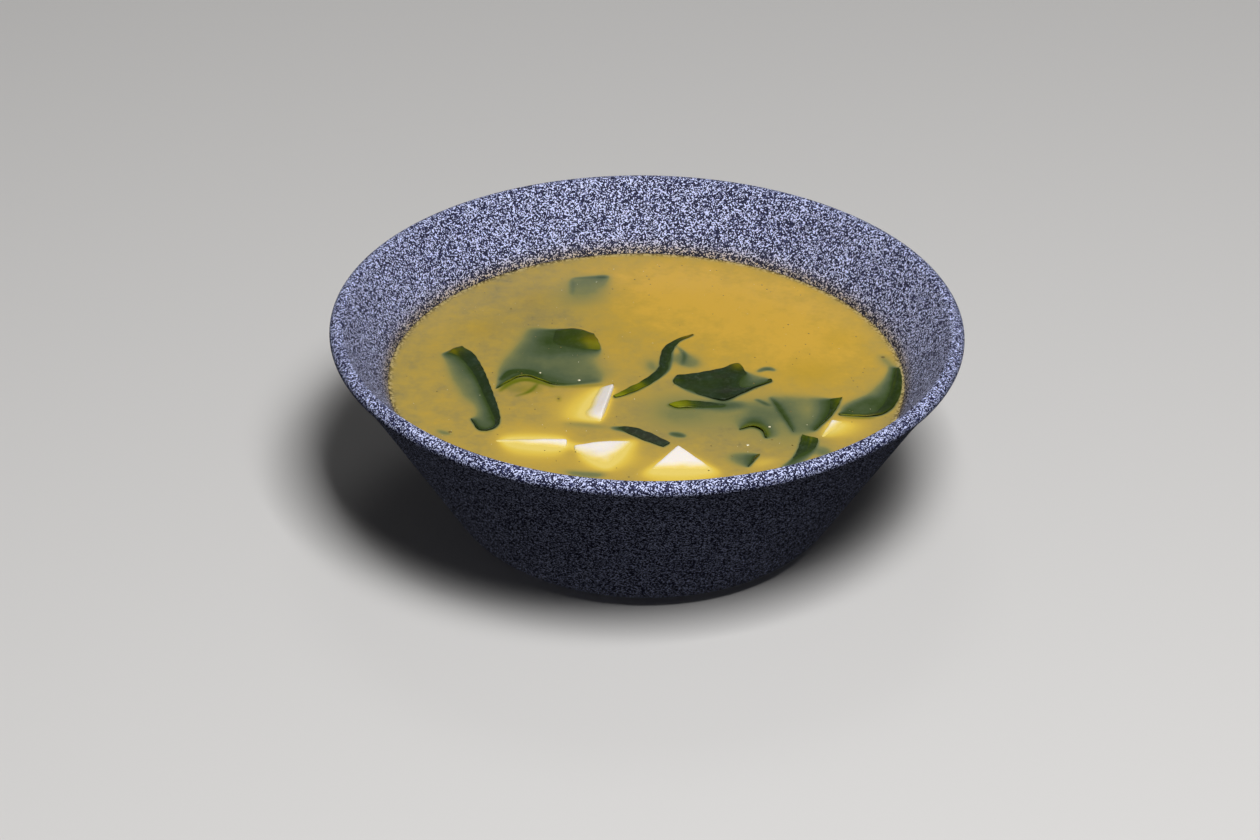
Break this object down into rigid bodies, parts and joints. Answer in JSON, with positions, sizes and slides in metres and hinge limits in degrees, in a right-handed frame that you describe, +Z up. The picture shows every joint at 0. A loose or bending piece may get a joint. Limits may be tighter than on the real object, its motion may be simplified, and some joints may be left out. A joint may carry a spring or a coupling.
{
  "type": "miso soup",
  "caption": "Miso soup with tofu blocks and wakame leaves, served in a flared speckled stoneware bowl with a rounded base.",
  "frame": {"origin": "middle of the bowl's foot, on the surface the bowl stands on", "axes": "+Z up out of the bowl, -Y towards the side the garnish is nearest to, +X to the right of it"},
  "size_m": [0.16, 0.16, 0.056],
  "materials": {
    "stoneware": "matte, finely speckled in dark blue-grey and pale lavender",
    "broth": "wet, cloudy golden yellow",
    "tofu": "moist, smooth off-white",
    "wakame": "wet, deep green, thin and slightly see-through"
  },
  "bodies": {
    "root": {"bowl": "stoneware", "soup": "broth", "tofu_middle": "tofu", "tofu_front_left": "tofu", "tofu_front": "tofu", "tofu_front_right": "tofu", "tofu_right": "tofu", "wakame_hook": "wakame", "wakame_flap": "wakame", "wakame_twist": "wakame", "wakame_centre": "wakame", "wakame_sliver": "wakame", "wakame_curl": "wakame", "wakame_sail": "wakame", "wakame_wall_front": "wakame", "wakame_wall_right": "wakame", "wakame_corner": "wakame", "wakame_dark": "wakame"}
  },
  "joints": []
}
